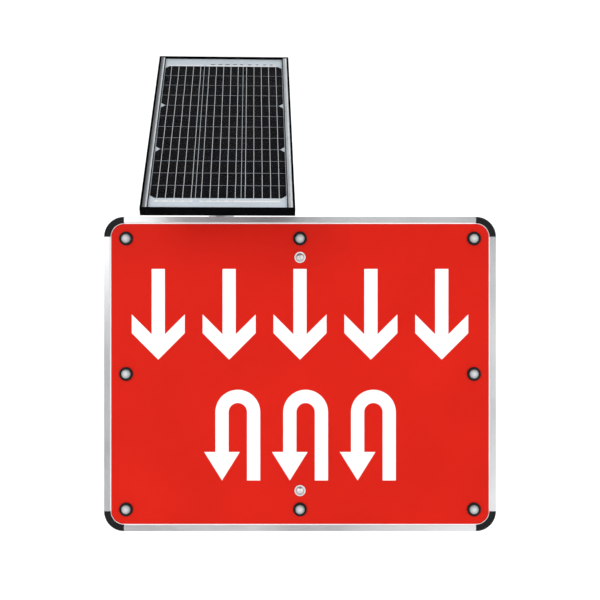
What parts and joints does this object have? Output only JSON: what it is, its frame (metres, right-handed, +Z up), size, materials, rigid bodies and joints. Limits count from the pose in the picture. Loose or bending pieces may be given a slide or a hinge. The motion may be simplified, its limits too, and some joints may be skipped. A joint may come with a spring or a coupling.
{
  "type": "solar flashing traffic sign",
  "caption": "Framed red traffic sign face with edge warning lamps, post studs, a short mast with a swivelling, tilting solar panel and a rear battery cabinet.",
  "frame": {"origin": "midway between the two post studs, on the rear face of the back rails", "axes": "+X to the right seen from the front, +Y from the sign face towards the post, +Z up"},
  "size_m": [0.768, 0.4366, 0.986],
  "materials": {
    "aluminium_frame": "satin anodised extrusion",
    "mill_aluminium": "mill finish sheet and tube",
    "white_sheeting": "white retroreflective sheeting",
    "red_sheeting": "red transparent overlay film on reflective sheeting",
    "black_plastic": "fine-textured black moulding",
    "lamp_lens": "milky clear lens",
    "circuit_board": "lacquered circuit board",
    "rubber_seal": "black seal rubber",
    "cable_jacket": "black cable jacket",
    "stainless": "brushed stainless",
    "galvanised": "galvanised steel",
    "cast_aluminium": "cast and tumbled",
    "nylon": "natural nylon",
    "cabinet_paint": "light grey powder coat",
    "battery_case": "dark grey battery case",
    "controller_case": "dark grey case",
    "red_rocker": "glossy red rocker",
    "terminal_plastic": "black terminal plastic",
    "fuse_plastic": "cream fuse holder",
    "black_anodised": "black anodised extrusion",
    "backsheet": "white backsheet",
    "solar_cell": "blue-black monocrystalline silicon",
    "solar_glass": "tempered low-iron glass"
  },
  "bodies": {
    "sign": {"sign_blank": "mill_aluminium", "white_sheeting": "white_sheeting", "red_overlay": "red_sheeting", "frame_top": "aluminium_frame", "frame_bottom": "aluminium_frame", "frame_left": "aluminium_frame", "frame_right": "aluminium_frame", "corner_caps": "black_plastic", "raceway_covers": "aluminium_frame", "led_bezels": "black_plastic", "led_lenses": "lamp_lens", "led_boards": "circuit_board", "led_gaskets": "rubber_seal", "led_nuts": "black_plastic", "led_harness": "cable_jacket", "rail_upper": "mill_aluminium", "rail_lower": "mill_aluminium", "rail_brackets": "galvanised", "bracket_screws": "stainless", "mount_bolts": "stainless", "mount_washers": "stainless", "mount_nuts": "stainless", "mast_tube": "galvanised", "mast_end_cap": "black_plastic", "mast_bearing": "nylon", "mast_saddles": "cast_aluminium", "mast_clamps": "cast_aluminium", "clamp_bolts": "stainless", "clamp_nuts": "galvanised", "cabinet_shell": "cabinet_paint", "cabinet_brackets": "galvanised", "cabinet_bands": "stainless", "hinge_pins": "stainless", "battery": "battery_case", "battery_strap": "galvanised", "flash_controller": "controller_case", "terminal_block": "terminal_plastic", "fuse_holder": "fuse_plastic", "cable_glands": "black_plastic"},
    "rocker": {"power_rocker": "red_rocker"},
    "door": {"cabinet_door": "cabinet_paint", "door_gasket": "rubber_seal"},
    "door_lock": {"lock_barrel": "stainless", "lock_cam": "galvanised"},
    "swivel": {"swivel_head": "cast_aluminium", "swivel_screws": "stainless", "tilt_bolts": "stainless", "tilt_nuts": "stainless"},
    "panel": {"tilt_bracket": "galvanised", "panel_rails": "mill_aluminium", "panel_rail_screws": "stainless", "panel_frame_ends": "black_anodised", "panel_frame_sides": "black_anodised", "panel_side_trims": "aluminium_frame", "panel_backsheet": "backsheet", "solar_cells": "solar_cell", "panel_glass": "solar_glass", "junction_box": "black_plastic", "junction_lid": "black_plastic"}
  },
  "joints": [
    {"name": "panel_swivel", "type": "hinge", "parent": "sign", "child": "swivel", "pos_m": [-0.158, 0.03, 0.34], "axis": [0, 0, 1], "range_deg": [-25, 25]},
    {"name": "panel_tilt", "type": "hinge", "parent": "swivel", "child": "panel", "pos_m": [-0.158, 0.03, 0.414], "axis": [0.9991, 0.0419, 0], "range_deg": [-38, 12]},
    {"name": "door_hinge", "type": "hinge", "parent": "sign", "child": "door", "pos_m": [-0.2735, 0.1575, -0.02], "axis": [0, 0, 1], "range_deg": [0, 110]},
    {"name": "lock_turn", "type": "hinge", "parent": "door", "child": "door_lock", "pos_m": [-0.078, 0.162, -0.02], "axis": [0, -1, 0], "range_deg": [0, 90]},
    {"name": "switch_rock", "type": "hinge", "parent": "sign", "child": "rocker", "pos_m": [-0.118, 0.09, 0.058], "axis": [1, 0, 0], "range_deg": [0, 20]}
  ]
}
